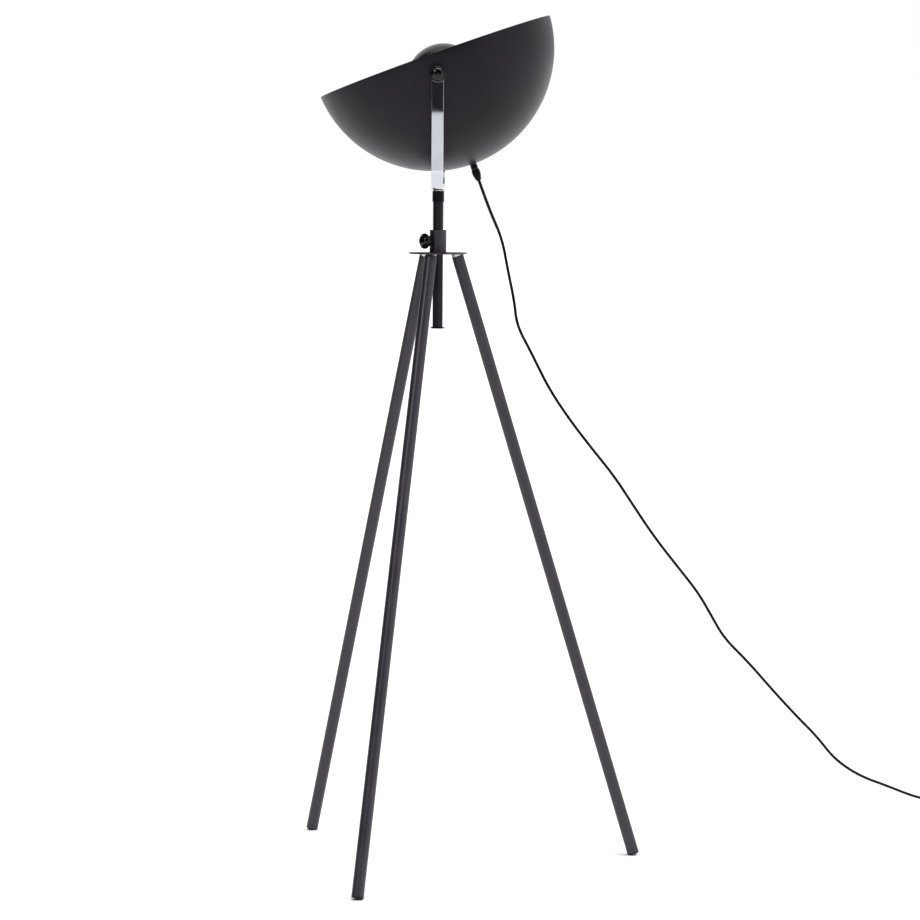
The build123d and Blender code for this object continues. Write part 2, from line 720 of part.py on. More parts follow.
pin_d = 4.0
pin_spacing = 19.0
pin_length = 19.0
with BuildPart() as plug_pins:
    with BuildSketch(plug_plane(44)):
        with GridLocations(0, pin_spacing, 1, 2):
            Circle(pin_d / 2)
    extrude(amount=pin_length)
    fillet(plug_pins.faces().sort_by(Axis(plug_start, plug_along))[-2:].edges(), 1.2)
save(plug_pins.part, "plug_pins")

for label, value in (("plate", plate_z), ("collar top", collar_top), ("stem top", stem_top),
                     ("stem bottom", stem_bottom), ("bail", bail_z), ("pivot", pivot_z)):
    print(label, round(value, 2))
print("apex", apex, "gland end", gland_end, "rim centre", rim_centre)
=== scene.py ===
import math

import bmesh
import bpy
from mathutils import Matrix, Vector


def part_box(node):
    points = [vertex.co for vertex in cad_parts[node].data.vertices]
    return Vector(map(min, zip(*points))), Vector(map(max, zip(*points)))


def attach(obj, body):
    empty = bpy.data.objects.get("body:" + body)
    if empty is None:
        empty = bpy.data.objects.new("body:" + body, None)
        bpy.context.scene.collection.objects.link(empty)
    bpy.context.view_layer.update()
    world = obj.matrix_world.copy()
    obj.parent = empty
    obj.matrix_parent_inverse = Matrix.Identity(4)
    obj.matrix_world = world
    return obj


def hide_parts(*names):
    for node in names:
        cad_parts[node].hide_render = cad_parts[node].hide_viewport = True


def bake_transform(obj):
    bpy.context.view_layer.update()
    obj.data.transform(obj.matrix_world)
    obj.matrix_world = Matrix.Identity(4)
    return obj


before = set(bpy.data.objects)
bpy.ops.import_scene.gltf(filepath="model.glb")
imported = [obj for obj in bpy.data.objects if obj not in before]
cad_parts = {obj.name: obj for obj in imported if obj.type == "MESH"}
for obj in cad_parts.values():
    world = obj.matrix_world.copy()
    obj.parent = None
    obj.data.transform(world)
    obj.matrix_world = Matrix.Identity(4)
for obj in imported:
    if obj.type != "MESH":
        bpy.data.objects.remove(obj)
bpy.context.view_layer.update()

scene = bpy.context.scene
mm = 0.001

# ---------------------------------------------------------------- camera and light
# A camera a little above the stem, more than six metres in front of the lamp, on a
# 137 mm lens, which looks slightly down.
eye = Vector((0.0588, -6.3547, 1.2855))
eye_down = math.radians(4.899)
eye_right = math.radians(-0.147)
eye_roll = math.radians(0.368)
ahead = Vector((math.sin(eye_right) * math.cos(eye_down),
                math.cos(eye_right) * math.cos(eye_down),
                -math.sin(eye_down)))
level = Vector((math.cos(eye_right), -math.sin(eye_right), 0))
upright = level.cross(ahead)
right = level * math.cos(eye_roll) + upright * math.sin(eye_roll)
up = right.cross(ahead)
camera = bpy.data.objects.new("camera", bpy.data.cameras.new("camera"))
camera.data.lens = 136.63
camera.data.sensor_width = 36.0
camera.data.clip_end = 200.0
camera.matrix_world = Matrix.Translation(eye) @ Matrix((right, up, -ahead)).transposed().to_4x4()
scene.collection.objects.link(camera)
scene.camera = camera
scene.view_settings.view_transform = "Standard"


def linear(code):
    """Linear colour of an sRGB hex value."""
    parts = [int(code[i:i + 2], 16) / 255 for i in (1, 3, 5)]
    return [p / 12.92 if p <= 0.04045 else ((p + 0.055) / 1.055) ** 2.4 for p in parts] + [1.0]


def add_node(tree, kind, inputs=None, **settings):
    """A node with its settings, and its inputs set to values or linked to sockets."""
    made = tree.nodes.new(kind)
    for name, value in settings.items():
        setattr(made, name, value)
    for socket, value in (inputs or {}).items():
        if isinstance(value, bpy.types.NodeSocket):
            tree.links.new(value, made.inputs[socket])
        else:
            made.inputs[socket].default_value = value
    return made


# white room: even light from all round
world = bpy.data.worlds.new("white room")
world.use_nodes = True
world.node_tree.nodes["Background"].inputs["Color"].default_value = linear("#ffffff")
world.node_tree.nodes["Background"].inputs["Strength"].default_value = 1.0
scene.world = world

# a broad soft light overhead, a little in front and to the right
overhead = bpy.data.objects.new("overhead", bpy.data.lights.new("overhead", "SUN"))
overhead.data.energy = 2.4
overhead.data.angle = math.radians(60)
overhead.rotation_euler = Vector((-1.0, 1.0, -6.0)).to_track_quat("-Z", "Y").to_euler()
scene.collection.objects.link(overhead)

# a soft box up on the left in front, which the knobs and the gloss show as a small bright spot
soft_box = bpy.data.objects.new("soft box", bpy.data.lights.new("soft box", "AREA"))
soft_box.data.energy = 90.0
soft_box.data.size = 1.2
soft_box.location = (-3.0, -4.6, 4.6)
soft_box.rotation_euler = Vector((3.0, 4.6, -3.4)).to_track_quat("-Z", "Y").to_euler()
scene.collection.objects.link(soft_box)


def staged(name, size, place, colour):
    """Matt square of the studio, which isn't part of the lamp."""
    mesh = bpy.data.meshes.new(name)
    bm = bmesh.new()
    bmesh.ops.create_grid(bm, x_segments=1, y_segments=1, size=size / 2)
    bmesh.ops.transform(bm, matrix=place, verts=bm.verts)
    bm.to_mesh(mesh)
    bm.free()
    matt_paint = bpy.data.materials.new(name)
    matt_paint.use_nodes = True
    paint_shader = matt_paint.node_tree.nodes["Principled BSDF"]
    paint_shader.inputs["Base Color"].default_value = linear(colour)
    paint_shader.inputs["Roughness"].default_value = 0.9
    paint_shader.inputs["Specular IOR Level"].default_value = 0.1
    mesh.materials.append(matt_paint)
    made = bpy.data.objects.new(name, mesh)
    scene.collection.objects.link(made)
    return made


# white floor just under the feet, and the dim walls of the studio, which the chrome and the
# gloss of the paint reflect; the one behind the camera starts a metre and a half up, with the
# white room under it
under_feet = 0.2 * mm
facing_lamp = Matrix.Rotation(math.pi / 2, 4, "X")
facing_right = Matrix.Rotation(math.pi / 2, 4, "Y")
staged("white studio floor", 120, Matrix.Translation((0, 0, -under_feet)), "#f4f4f4")
wall_behind = staged("studio wall behind the camera", 16,
                     Matrix.Translation((0, -12.0, 9.53)) @ facing_lamp, "#2a2a2d")
wall_left = staged("studio wall on the left", 20,
                   Matrix.Translation((-9.0, 0, 10.0)) @ facing_right, "#2c2c2f")
for wall in (wall_behind, wall_left):
    wall.visible_camera = False


# ---------------------------------------------------------------- flex
# Round 5.5 mm mains flex, two cores in an extruded black PVC sheath.  It leaves the gland
# under the shade, hangs behind the lamp to the floor and runs on to a foot switch.
flex_d = 5.5 * mm
pivot = (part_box("tilt_screw_front")[0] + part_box("tilt_screw_back")[1]) / 2
pivot.x = 0.0
tilt = math.radians(19.9)
to_mouth = Vector((-math.sin(tilt), 0, math.cos(tilt)))
across = Vector((math.cos(tilt), 0, math.sin(tilt)))
rim_beyond_pivot = 37.2 * mm
rim_beside_pivot = 6.0 * mm
rim_centre = pivot + to_mouth * rim_beyond_pivot + across * rim_beside_pivot
shade_depth = 205.5 * mm
apex = rim_centre - to_mouth * shade_depth
gland_length = 30.0 * mm
gland_end = apex - to_mouth * gland_length
straight_out = 26.0 * mm
flex_out = gland_end - to_mouth * straight_out
hanging_route = [gland_end, flex_out] + [Vector(p) for p in (
    (0.097, 0.013, 1.188), (0.117, 0.029, 1.143), (0.128, 0.037, 1.085), (0.140, 0.045, 1.030),
    (0.145, 0.049, 0.985), (0.172, 0.065, 0.935), (0.205, 0.088, 0.868), (0.245, 0.114, 0.808),
    (0.288, 0.143, 0.752), (0.332, 0.173, 0.697), (0.368, 0.196, 0.642), (0.410, 0.224, 0.579),
    (0.455, 0.254, 0.521), (0.500, 0.284, 0.464), (0.528, 0.303, 0.415), (0.553, 0.320, 0.372),
    (0.602, 0.351, 0.322), (0.648, 0.383, 0.268), (0.698, 0.416, 0.212), (0.748, 0.449, 0.160),
    (0.785, 0.474, 0.112), (0.838, 0.508, 0.073), (0.900, 0.551, 0.045), (0.958, 0.590, 0.017),
    (1.000, 0.613, 0.005), (1.030, 0.624, 0.007), (1.058, 0.606, 0.009), (1.062, 0.576, 0.009))]
switch_length = 70.0 * mm
switch_start = hanging_route[-1]
switch_along = Vector((4, -30, 0)).normalized()
switch_end = switch_start + switch_along * switch_length


def spline_points(route):
    """Points along the smooth NURBS line that has the route's points as its control points."""
    curve = bpy.data.curves.new("route", "CURVE")
    curve.dimensions = "3D"
    curve.resolution_u = 10
    spline = curve.splines.new("NURBS")
    spline.points.add(len(route) - 1)
    for place, p in zip(spline.points, route):
        place.co = (*p, 1.0)
    spline.order_u = 3
    spline.use_endpoint_u = True
    line = bpy.data.objects.new("route", curve)
    mesh = bpy.data.meshes.new_from_object(line)
    points = [v.co.copy() for v in mesh.vertices]
    bpy.data.meshes.remove(mesh)
    bpy.data.curves.remove(curve)
    return points


def sheath(name, points, diameter):
    """Round tube whose rings stand on these points."""
    curve = bpy.data.curves.new(name, "CURVE")
    curve.dimensions = "3D"
    curve.bevel_depth = diameter / 2
    curve.bevel_resolution = 5
    curve.use_fill_caps = True
    spline = curve.splines.new("POLY")
    spline.points.add(len(points) - 1)
    for place, p in zip(spline.points, points):
        place.co = (*p, 1.0)
    line = bpy.data.objects.new(name, curve)
    mesh = bpy.data.meshes.new_from_object(line)
    mesh.name = name
    bpy.data.curves.remove(curve)
    mesh.shade_smooth()
    mesh.set_sharp_from_angle(angle=math.radians(50))
    mesh.materials.clear()
    made = bpy.data.objects.new(name, mesh)
    scene.collection.objects.link(made)
    return made


def finish_material(name, colours, metallic, roughness, grain, drift, **sockets):
    """Material with two colours and two roughnesses that drift into each other, and a grain.

    grain is (size, height) and drift the size of the patches, all in millimetres.
    """
    made = bpy.data.materials.new(name)
    made.use_nodes = True
    tree = made.node_tree
    shader = tree.nodes["Principled BSDF"]
    shader.inputs["Metallic"].default_value = metallic
    for socket, value in sockets.items():
        shader.inputs[socket.replace("_", " ")].default_value = value
    place = add_node(tree, "ShaderNodeTexCoord")
    patches = add_node(tree, "ShaderNodeTexNoise",
                       {"Vector": place.outputs["Object"], "Scale": 1 / (drift * mm),
                        "Detail": 3.0})
    ramp = add_node(tree, "ShaderNodeValToRGB", {"Fac": patches.outputs["Fac"]})
    ramp.color_ramp.elements[0].position = 0.35
    ramp.color_ramp.elements[0].color = linear(colours[0])
    ramp.color_ramp.elements[1].position = 0.65
    ramp.color_ramp.elements[1].color = linear(colours[1])
    tree.links.new(ramp.outputs["Color"], shader.inputs["Base Color"])
    matt = add_node(tree, "ShaderNodeMapRange",
                    {"Value": patches.outputs["Fac"], "From Min": 0.3, "From Max": 0.7,
                     "To Min": roughness[0], "To Max": roughness[1]})
    tree.links.new(matt.outputs["Result"], shader.inputs["Roughness"])
    size, height = grain
    specks = add_node(tree, "ShaderNodeTexNoise",
                      {"Vector": place.outputs["Object"], "Scale": 1 / (size * mm), "Detail": 2.0})
    relief = add_node(tree, "ShaderNodeBump",
                      {"Height": specks.outputs["Fac"], "Strength": 1.0, "Distance": height * mm})
    tree.links.new(relief.outputs["Normal"], shader.inputs["Normal"])
    return made


# Extruded PVC: a deep black with a low, soft sheen that comes and goes along the flex.  The
# extruder's ripple is finer than a millimetre, and is drawn at 3 mm so that it shows.
pvc = finish_material("extruded black PVC", ("#030304", "#070708"), 0.0, (0.36, 0.46),
                      (3.0, 0.06), 40.0, Specular_IOR_Level=0.1)

# The hanging flex is three lengths, end to end, split where the shade's tilt, the yoke's turn
# and the stem's slide would be taken up, the last dying out at settled_height.  The bodies and
# points listed with each length are not used: the tubes are built fixed where they hang.
swing_height = 1.045
turn_height = 0.700
settled_height = 0.372
hanging = spline_points(hanging_route)
swing_end = min(range(len(hanging)), key=lambda i: abs(hanging[i].z - swing_height))
turn_end = min(range(len(hanging)), key=lambda i: abs(hanging[i].z - turn_height))
settled = min(hanging_route, key=lambda p: abs(p.z - settled_height))
lengths = {
    "flex_upper": (hanging[:swing_end + 1], "shade", "yoke", gland_end, hanging[swing_end]),
    "flex_middle": (hanging[swing_end:turn_end + 1], "yoke", "stem",
                    hanging[swing_end], hanging[turn_end]),
    "flex_lower": (hanging[turn_end:], "stem", "tripod", hanging[turn_end], settled),
}
for name, (points, near, far, start, end) in lengths.items():
    piece = sheath(name, points, flex_d)
    piece.data.materials.append(pvc)
    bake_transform(piece)
    if name == "flex_upper":
        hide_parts("flex_tube")

# Beyond the switch the flex is wound inwards in two flat turns and a bit, each a diameter
# inside the last, and its end rises over the last two points and crosses them to the plug.
# The smooth line passes inside the route's corners, by the share that line_to_corner gives.
coil_centre = Vector((1.036, 0.425, 0))
coil_height = 2.85 * mm
outer_turn = 35.7 * mm
turn_points = 14
coil_steps = 29
rising_steps = 2
first_rise = 0.6 * mm
boot_run = 20.0 * mm
line_to_corner = math.cos(math.pi / turn_points)
wound_route = [switch_end, switch_end + switch_along * boot_run, Vector((1.0745, 0.456, 0.0045))]
for step in range(coil_steps + 1):
    angle = -2 * math.pi * step / turn_points
    radius = (outer_turn - flex_d * step / turn_points) / line_to_corner
    rise = first_rise * max(0, step - coil_steps + rising_steps) ** 2
    wound_route.append(coil_centre + Vector((math.cos(angle) * radius, math.sin(angle) * radius,
                                             coil_height + rise)))
wound_route += [Vector(p) for p in (
    (1.0517, 0.4053, 0.0074), (1.0455, 0.3965, 0.0089), (1.0393, 0.3880, 0.0090),
    (1.0325, 0.3775, 0.0088), (1.0260, 0.3660, 0.0077), (1.0180, 0.3500, 0.0073))]
wound = spline_points(wound_route)
flex_wound = sheath("flex_wound", wound, flex_d)
flex_wound.data.materials.append(pvc)
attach(flex_wound, "tripod")
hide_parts("flex_lead", "flex_coil", "flex_tail")


# ---------------------------------------------------------------- hub
# Round 3 mm steel plate that the legs are screwed to, with a turned collar welded on it for
# the stem, both powder coated.

# Powder coat: an even black with a hint of violet and a satin gloss that spreads along the
# tubes.  Its orange peel is about half a millimetre across, and is drawn at 1.4 mm.
powder = finish_material("satin black powder coat", ("#221f28", "#29252f"), 0.0, (0.36, 0.43),
                         (1.4, 0.012), 60.0, Specular_IOR_Level=0.5)


def dress(material, *names):
    """Gives CAD nodes their material."""
    for name in names:
        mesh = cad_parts[name].data
        mesh.materials.clear()
        mesh.materials.append(material)


dress(powder, "hub_plate", "hub_collar")

# ---------------------------------------------------------------- legs
# Each leg is a stub and three sections of 22 mm steel tube, screwed together end to end,
# with a rubber cap on its foot.  The tube ends are deburred, so a fine groove shows at each
# seam.
leg_bearings = (-20.4, 99.6, 219.6)
leg_splay = math.radians(16.97)
leg_radius = 11.0 * mm
leg_bore = 9.8 * mm
deburr = 0.4 * mm
seam_ring = 1.5 * mm
plate_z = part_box("hub_plate")[0].z
leg_top_radius = 36.0 * mm
end_drop = leg_radius * math.sin(leg_splay)
leg_sections = (("stub", 0.0, 56.0), ("upper", 56.0, 367.5), ("middle", 423.5, 367.5),
                ("lower", 791.0, 367.5))


def turned(name, outline, place, steps=64):
    """Piece spun from a closed outline of (radius, height, rounding) about the Z of place."""
    bm = bmesh.new()
    corners = [bm.verts.new((radius, 0, height)) for radius, height, _ in outline]
    for a, b in zip(corners, corners[1:] + corners[:1]):
        bm.edges.new((a, b))
    for corner, (_, _, rounding) in zip(corners, outline):
        if rounding:
            bmesh.ops.bevel(bm, geom=[corner], offset=rounding, segments=4, profile=0.5,
                            affect="VERTICES", material=-1)
    bmesh.ops.spin(bm, geom=bm.verts[:] + bm.edges[:], axis=(0, 0, 1), cent=(0, 0, 0),
                   angle=2 * math.pi, steps=steps, use_merge=True)
    bmesh.ops.remove_doubles(bm, verts=bm.verts, dist=1e-6)
    return set_down(name, bm, place)


def set_down(name, bm, place=None):
    """Makes a bmesh into a finished piece, with its place in its mesh."""
    bmesh.ops.recalc_face_normals(bm, faces=bm.faces)
    if place is not None:
        bmesh.ops.transform(bm, matrix=place, verts=bm.verts)
    mesh = bpy.data.meshes.new(name)
    bm.to_mesh(mesh)
    bm.free()
    mesh.shade_smooth()
    mesh.set_sharp_from_angle(angle=math.radians(40))
    made = bpy.data.objects.new(name, mesh)
    scene.collection.objects.link(made)
    return made


def pointing(origin, direction):
    """Matrix that puts Z along a direction and the origin at a point."""
    turned_to = Vector(direction).to_track_quat("Z", "Y").to_matrix().to_4x4()
    return Matrix.Translation(origin) @ turned_to


# the ring a little way from each end keeps the shading of the deburred edge off the tube
for number, bearing in enumerate(leg_bearings, start=1):
    turn = math.radians(bearing)
    outward = Vector((math.sin(turn), -math.cos(turn), 0))
    down = outward * math.sin(leg_splay) + Vector((0, 0, -math.cos(leg_splay)))
    leg_top = outward * leg_top_radius + Vector((0, 0, plate_z - end_drop))
    for section, start, length in leg_sections:
        tube = turned(f"tube_{section}_{number}",
                      [(leg_bore, 0, 0), (leg_radius, 0, deburr), (leg_radius, seam_ring, 0),
                       (leg_radius, length * mm - seam_ring, 0),
                       (leg_radius, length * mm, deburr), (leg_bore, length * mm, 0)],
                      pointing(leg_top + down * start * mm, down))
        tube.data.materials.append(powder)
        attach(tube, "tripod")
        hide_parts(f"leg_{section}_{number}")

# Bright zinc plate: a pale, cold metal with cloudy patches and blurred reflections, on the
# wedges under the hub plate and on the screwed plugs in the tubes.
zinc = finish_material("bright zinc plate", ("#d9dcdf", "#e8eaec"), 1.0, (0.34, 0.42),
                       (0.8, 0.01), 9.0)
dress(zinc, "leg_wedges", "leg_inserts", "leg_joiners")

# Moulded rubber: a flat black, a little greyer than the paint, that takes no highlight.
rubber = finish_material("moulded black rubber", ("#0f0f10", "#161617"), 0.0, (0.62, 0.74),
                         (0.6, 0.03), 15.0, Specular_IOR_Level=0.35)
dress(rubber, "foot_caps")

# ---------------------------------------------------------------- stem and swivel
# 19 mm steel tube that slides in the collar, with a moulded cap below and a moulded bush on
# top that carries the bail on an 8 mm bolt.

# Semi-gloss paint: a darker and glossier black than the legs, with a narrow highlight down
# the tube.  Its orange peel is finer than a millimetre, and is drawn at 1.6 mm.
stem_paint = finish_material("semi-gloss black paint", ("#121016", "#17151b"), 0.0,
                             (0.26, 0.32), (1.6, 0.008), 35.0, Specular_IOR_Level=0.2)
dress(stem_paint, "stem_tube")

# Plastic moulded in a spark-eroded tool: the deepest black of the lamp, with a fine even
# grain that spreads its highlights until they hardly show.
moulding = finish_material("black moulding with spark texture", ("#050506", "#08080a"), 0.0,
                           (0.34, 0.42), (0.5, 0.02), 20.0, Specular_IOR_Level=0.12)
dress(moulding, "stem_end_cap", "swivel_bush")

# Nylon: a waxy dark grey with a soft highlight, on the washers, the pad and the insulators.
nylon = finish_material("black nylon", ("#1a1a1b", "#202021"), 0.0, (0.40, 0.48),
                        (0.9, 0.01), 12.0)
dress(nylon, "friction_washer", "pivot_washers", "knob_washer_front", "knob_washer_back",
      "clamp_pad", "switch_module", "holder_insulator")
dress(zinc, "wave_washer", "pivot_bosses", "nipple", "clamp_screw", "tilt_screw_front",
      "tilt_screw_back")

# ---------------------------------------------------------------- bail
# Flat steel bar 21 x 4 mm, bent to a U with 45 degree corners and with rounded tips, then
# polished and chrome plated.  The swivel bolt holds it by the middle, the tilt screws at the tips.
bail_low, bail_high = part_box("bail")
bar_width = bail_high.x - bail_low.x
bar_thickness = 4.0 * mm
bail_corner = 30.0 * mm
bend_offset = 4.6 * mm
tip_flat = 2.0 * mm
arris = 0.6 * mm
flats_area = 1e-4
bm = bmesh.new()
half = bail_high.y
path = [(-half, bail_high.z), (-half, bail_low.z + bail_corner), (-half + bail_corner, bail_low.z),
        (half - bail_corner, bail_low.z), (half, bail_low.z + bail_corner), (half, bail_high.z)]
bends = [bm.verts.new((-bar_width / 2, y, z)) for y, z in path]
for a, b in zip(bends, bends[1:]):
    bm.edges.new((a, b))
bmesh.ops.bevel(bm, geom=bends[1:-1], offset=bend_offset, segments=6, profile=0.5,
                affect="VERTICES", material=-1)
grown = bmesh.ops.extrude_edge_only(bm, edges=bm.edges[:])
moved = [v for v in grown["geom"] if isinstance(v, bmesh.types.BMVert)]
bmesh.ops.translate(bm, verts=moved, vec=(bar_width, 0, 0))
tips = [v for v in bm.verts if v.co.z > bail_high.z - 1e-6]
bmesh.ops.bevel(bm, geom=tips, offset=(bar_width - tip_flat) / 2, segments=8, profile=0.5,
                affect="VERTICES", material=-1)
# this is the bar's outer face, which looks down at the bottom; its thickness goes inwards
bmesh.ops.recalc_face_normals(bm, faces=bm.faces)
if sum(f.normal.z * f.calc_area() for f in bm.faces) > 0:
    bmesh.ops.reverse_faces(bm, faces=bm.faces)
bmesh.ops.solidify(bm, geom=bm.faces[:], thickness=bar_thickness)
bmesh.ops.remove_doubles(bm, verts=bm.verts, dist=1e-6)
bmesh.ops.recalc_face_normals(bm, faces=bm.faces)
arrises = [e for e in bm.edges
           if len(e.link_faces) == 2 and e.calc_face_angle() > math.radians(60)]
bmesh.ops.bevel(bm, geom=arrises, offset=arris, segments=3, profile=0.5, affect="EDGES",
                material=-1)
bail_bar = set_down("bail_bar", bm)
# the bar's flats are shaded flat, so that what they reflect stays straight
for face in bail_bar.data.polygons:
    face.use_smooth = face.area < flats_area

# Polished chrome: a mirror with a faint blue cast, which shows the white room and the dim
# walls as sharp bands.  The polisher's waves are some millimetres long and next to nothing high.
chrome = finish_material("polished chrome plate", ("#c6c9cf", "#cfd2d8"), 1.0, (0.012, 0.025),
                         (4.0, 0.0002), 30.0)
bail_bar.data.materials.append(chrome)
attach(bail_bar, "yoke")
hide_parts("bail")
dress(chrome, "swivel_bolt")

# ---------------------------------------------------------------- shade
# Spun steel dome on a sphere 441 mm across, with its rim folded in, painted matt black
# outside and pale silver inside.  It hangs between the tilt screws.
shade_radius = 220.5 * mm
shade_wall = 1.2 * mm
rim_hem = 6.0 * mm
hem_width = 1.4 * mm
fold_rounding = 0.45 * mm
shade_axes = Matrix((across, to_mouth.cross(across), to_mouth)).transposed().to_4x4()
shade_place = Matrix.Translation(apex) @ shade_axes


def dome(name, radius, wall, depth, hem, hem_in, steps, place):
    """Spun dome with its apex at the origin and its rim folded in; its inside gets slot 1."""
    centre = Vector((0, 0, radius))
    sweep = math.acos((radius - depth) / radius)
    bm = bmesh.new()
    start = bm.verts.new((0, 0, 0))
    arc = bmesh.ops.spin(bm, geom=[start], axis=(0, -1, 0), cent=centre, angle=sweep, steps=48,
                         use_merge=False)
    last = [v for v in arc["geom_last"] if isinstance(v, bmesh.types.BMVert)][0]
    inner = radius - wall
    inner_depth = depth - hem
    inner_rim = math.sqrt(inner ** 2 - (radius - inner_depth) ** 2)
    fold = math.sqrt(inner ** 2 - (radius - depth) ** 2) - hem_in
    rounded = [last]
    for spot in ((fold, depth), (fold, inner_depth), (inner_rim, inner_depth)):
        made = bmesh.ops.extrude_vert_indiv(bm, verts=[last])
        last = made["verts"][0]
        last.co = (spot[0], 0, spot[1])
        rounded.append(last)
    back = math.asin(inner_rim / inner)
    if radius - inner_depth < 0:
        back = math.pi - back
    bmesh.ops.spin(bm, geom=[last], axis=(0, 1, 0), cent=centre, angle=back, steps=48,
                   use_merge=False)
    for corner in rounded[:2]:
        bmesh.ops.bevel(bm, geom=[corner], offset=fold_rounding, segments=3, profile=0.5,
                        affect="VERTICES", material=-1)
    bmesh.ops.spin(bm, geom=bm.verts[:] + bm.edges[:], axis=(0, 0, 1), cent=(0, 0, 0),
                   angle=2 * math.pi, steps=steps, use_merge=True)
    bmesh.ops.remove_doubles(bm, verts=bm.verts, dist=1e-6)
    bmesh.ops.recalc_face_normals(bm, faces=bm.faces)
    # the inner wall and the back of the fold, but not the rim itself
    for face in bm.faces:
        spot = face.calc_center_median()
        if (spot - centre).length < inner + 0.2 * mm and spot.z < depth - 0.5 * mm:
            face.material_index = 1
    return set_down(name, bm, place)


# Sprayed matt paint: a near black with a hint of violet, whose broad faint highlight only
# shows how round the dome is.  Its orange peel is half a millimetre, and is drawn at 1.2 mm.
shade_black = finish_material("matt black spray paint", ("#0d0b13", "#13101b"), 0.0,
                              (0.36, 0.43), (1.2, 0.008), 90.0, Specular_IOR_Level=0.18)

# Silver lacquer: aluminium flake in clear lacquer, a light grey between paint and metal.
shade_silver = finish_material("pale silver lacquer", ("#c9cac8", "#d6d7d5"), 0.35,
                               (0.36, 0.44), (0.9, 0.01), 50.0)
shade_skin = dome("shade_skin", shade_radius, shade_wall, shade_depth, rim_hem, hem_width, 160,
                  shade_place)
shade_skin.data.materials.append(shade_black)
shade_skin.data.materials.append(shade_silver)
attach(shade_skin, "shade")
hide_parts("shade_dome")

# ---------------------------------------------------------------- gland
# Moulded cord gland screwed under the apex: a slim neck, and a wider clamping cap, 20 mm
# long, that tapers to the flex and grips it.
gland_nut = turned("gland_nut", [(r * mm, z * mm, b * mm) for r, z, b in (
    (3.2, -9.8, 0), (6.0, -9.8, 0), (6.4, -9.4, 0.2), (6.4, -0.8, 0.3), (5.8, -0.2, 0.2),
    (3.2, -0.2, 0))], shade_place)
gland_nut.data.materials.append(moulding)
strain_relief = turned("strain_relief", [(r * mm, z * mm, b * mm) for r, z, b in (
    (2.9, -31.0, 0), (4.5, -31.0, 0.3), (4.9, -29.6, 0.3), (7.0, -21.5, 1.0), (7.5, -19.5, 1.0),
    (7.5, -12.5, 1.2), (6.6, -9.9, 0.4), (2.9, -9.9, 0))], shade_place)
strain_relief.data.materials.append(pvc)
for piece, node in ((gland_nut, "gland_body"), (strain_relief, "gland_cap")):
    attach(piece, "shade")
    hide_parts(node)

# ---------------------------------------------------------------- lamp holder, bulb and inner cap
# E27 holder on a nipple through the apex, with a frosted bulb, and in front of it a small
# pressed steel dome on three rods that hides the glare.

# White enamel: a soft, slightly warm white with a gentle gloss.
white_paint = finish_material("white enamel paint", ("#dcdcd8", "#e6e6e2"), 0.0, (0.30, 0.38),
                              (1.2, 0.01), 30.0)
dress(white_paint, "cap_carrier", "cap_rods")
dress(moulding, "holder_cap", "holder_skirt")

# Drawn brass: a warm yellow metal with the tool's faint streaks dulling its reflections.
brass = finish_material("drawn brass", ("#b8924e", "#c9a45e"), 1.0, (0.22, 0.32),
                        (0.8, 0.01), 6.0)
dress(brass, "holder_screw_shell", "holder_contact")

# Nickel plate: a warmer and duller metal than the chrome, with slight cloudiness.
nickel = finish_material("nickel plate", ("#b3afa6", "#c4c0b8"), 1.0, (0.20, 0.30),
                         (0.8, 0.01), 8.0)
dress(nickel, "bulb_base", "plug_pins")

# Etched glass: milky white, which lets light in and blurs what is behind it.
frosted = finish_material("frosted glass", ("#f2f2ee", "#f8f8f5"), 0.0, (0.28, 0.36),
                          (0.4, 0.01), 25.0, IOR=1.5, Transmission_Weight=0.35)
dress(frosted, "bulb_glass")

cap_top = 227.0 * mm
cap_radius = 68.0 * mm
cap_wall = 1.0 * mm
cap_depth = 52.0 * mm
cap_hem = 1.0 * mm
cap_lip = 6.0 * mm
cap_place = (shade_place @ Matrix.Translation((0, 0, cap_top))
             @ Matrix.Rotation(math.pi, 4, "X"))
inner_cap = dome("inner_cap_skin", cap_radius, cap_wall, cap_depth, cap_hem, cap_lip, 96,
                 cap_place)

# Stoved enamel: a hard, even black whose gloss shows the bail and the knobs beside it.
gloss_black = finish_material("gloss black stove enamel", ("#08070b", "#0d0b10"), 0.0,
                              (0.20, 0.26), (2.0, 0.006), 40.0, Specular_IOR_Level=0.3)
inner_cap.data.materials.append(gloss_black)
inner_cap.data.materials.append(shade_silver)
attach(inner_cap, "shade")
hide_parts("inner_cap")

# ---------------------------------------------------------------- thumb screws
# Three alike: a glossy phenolic knob moulded on an M6 screw, a fluted ring with a rounded
# ball standing in it.  Two lock the shade's tilt and one, with a longer neck, clamps the stem.
knob_head = ((13.2, 0.0, 0.8), (14.25, 1.0, 0.6), (14.25, 5.2, 1.5), (12.9, 6.3, 0.3),
             (12.3, 5.3, 0.2), (11.7, 5.3, 0.2), (11.2, 7.2, 1.2), (9.6, 9.2, 1.3),
             (6.9, 10.6, 1.6), (3.6, 11.1, 1.6), (0.0, 11.2, 0))
tilt_neck = 2.5
clamp_neck = 10.5
screw_hole = 3.05
screw_depth = 9.5
flutes = 24
flute_floor = 13.0 * mm
flute_height = 1.0 * mm
flute_depth = 0.35 * mm

# Phenolic resin straight from a polished tool: a deep black with a wet gloss and small sharp
# highlights, and a faint waviness where the resin shrank.
phenolic = finish_material("gloss black phenolic moulding", ("#060607", "#0a0a0b"), 0.0,
                           (0.10, 0.15), (2.5, 0.004), 12.0, Specular_IOR_Level=0.35)


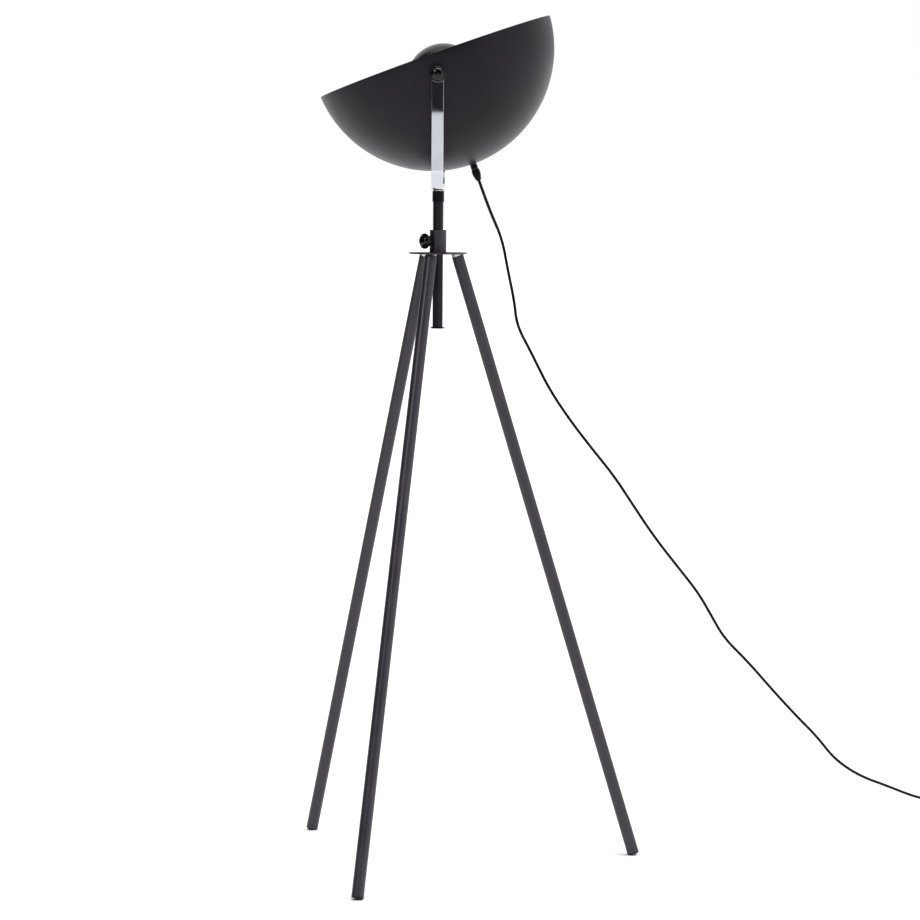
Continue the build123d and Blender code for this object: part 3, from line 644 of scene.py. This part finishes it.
def thumb_knob(name, origin, direction, neck, body, node):
    """Fluted knob on a neck of this many millimetres, which starts at the origin."""
    outline = [(screw_hole, 0.0, 0), (8.0, 0.0, 0.3), (8.4, 0.8, 0.2),
               (8.6 + 0.3 * neck, neck, 0.4)]
    outline += [(r, neck + z, b) for r, z, b in knob_head]
    outline += [(0.0, screw_depth, 0), (screw_hole, screw_depth, 0)]
    knob = turned(name, [(r * mm, z * mm, b * mm) for r, z, b in outline], None, steps=flutes * 6)
    for v in knob.data.vertices:
        reach = math.hypot(v.co.x, v.co.y)
        edge = min(1.0, max(0.0, (reach - flute_floor) / flute_height))
        wave = 0.5 - 0.5 * math.cos(math.atan2(v.co.y, v.co.x) * flutes)
        dip = flute_depth * edge * wave ** 3
        v.co.x *= 1 - dip / max(reach, mm)
        v.co.y *= 1 - dip / max(reach, mm)
    knob.data.transform(pointing(origin, direction))
    knob.data.update()
    knob.data.materials.append(phenolic)
    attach(knob, body)
    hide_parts(node)


thumb_knob("front_knob_moulding", Vector((0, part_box("tilt_knob_front")[1].y, pivot.z)),
           (0, -1, 0), tilt_neck, "front_knob", "tilt_knob_front")
thumb_knob("back_knob_moulding", Vector((0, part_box("tilt_knob_back")[0].y, pivot.z)),
           (0, 1, 0), tilt_neck, "back_knob", "tilt_knob_back")
clamp_bearing = math.radians(-54.5)
clamp_start = 16.1 * mm
clamp_out = Vector((math.sin(clamp_bearing), -math.cos(clamp_bearing), 0))
clamp_z = (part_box("clamp_knob")[0].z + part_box("clamp_knob")[1].z) / 2
thumb_knob("clamp_knob_moulding", Vector((0, 0, clamp_z)) + clamp_out * clamp_start,
           clamp_out, clamp_neck, "clamp_knob", "clamp_knob")

# ---------------------------------------------------------------- foot switch and plug
# In-line foot switch of two moulded shells with a push button, and a moulded two-pin plug.
# A ribbed PVC boot eases the flex into each end of the switch.
dress(moulding, "switch_base", "switch_cover", "switch_button", "plug_body")
boot_outline = [(r * mm, z * mm, b * mm) for r, z, b in (
    (2.9, -1.5, 0), (4.9, -1.5, 0), (4.8, 3.0, 0.2), (4.2, 3.4, 0.1), (4.2, 4.2, 0.1),
    (4.6, 4.6, 0.2), (4.4, 7.6, 0.2), (3.8, 8.0, 0.1), (3.8, 8.8, 0.1), (4.2, 9.2, 0.2),
    (4.0, 12.2, 0.2), (3.5, 12.6, 0.1), (3.5, 13.4, 0.1), (3.8, 13.8, 0.2), (3.5, 17.0, 0.4),
    (2.9, 17.0, 0))]
boot_in = turned("switch_boot_in", boot_outline, pointing(switch_start, -switch_along))
boot_out = turned("switch_boot_out", boot_outline, pointing(switch_end, switch_along))
for piece in (boot_in, boot_out):
    piece.data.materials.append(pvc)
    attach(piece, "tripod")

# nylon band that ties the wound flex: an oval loop round the turns, side by side as they lie
tie_angle = math.radians(215)
tie_reach = 30.2 * mm
tie_height = 2.9 * mm
tie_half_across = 9.2 * mm
tie_half_high = 3.4 * mm
tie_width = 3.2 * mm
tie_thickness = 0.5 * mm
tie_out = Vector((math.cos(tie_angle), math.sin(tie_angle), 0))
tie_at = coil_centre + tie_out * tie_reach + Vector((0, 0, tie_height))
bm = bmesh.new()
bmesh.ops.create_circle(bm, cap_ends=False, radius=1.0, segments=32)
bmesh.ops.scale(bm, verts=bm.verts, vec=(tie_half_across, tie_half_high, 1.0))
bmesh.ops.rotate(bm, verts=bm.verts, cent=(0, 0, 0), matrix=Matrix.Rotation(math.pi / 2, 3, "X"))
bmesh.ops.translate(bm, verts=bm.verts, vec=(0, -tie_width / 2, 0))
band = bmesh.ops.extrude_edge_only(bm, edges=bm.edges[:])
far_edge = [v for v in band["geom"] if isinstance(v, bmesh.types.BMVert)]
bmesh.ops.translate(bm, verts=far_edge, vec=(0, tie_width, 0))
bmesh.ops.recalc_face_normals(bm, faces=bm.faces)
bmesh.ops.solidify(bm, geom=bm.faces[:], thickness=tie_thickness)
bmesh.ops.remove_doubles(bm, verts=bm.verts, dist=1e-7)
coil_tie = set_down("coil_tie", bm, Matrix.Translation(tie_at) @ Matrix.Rotation(tie_angle, 4, "Z"))
coil_tie.data.materials.append(nylon)
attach(coil_tie, "tripod")
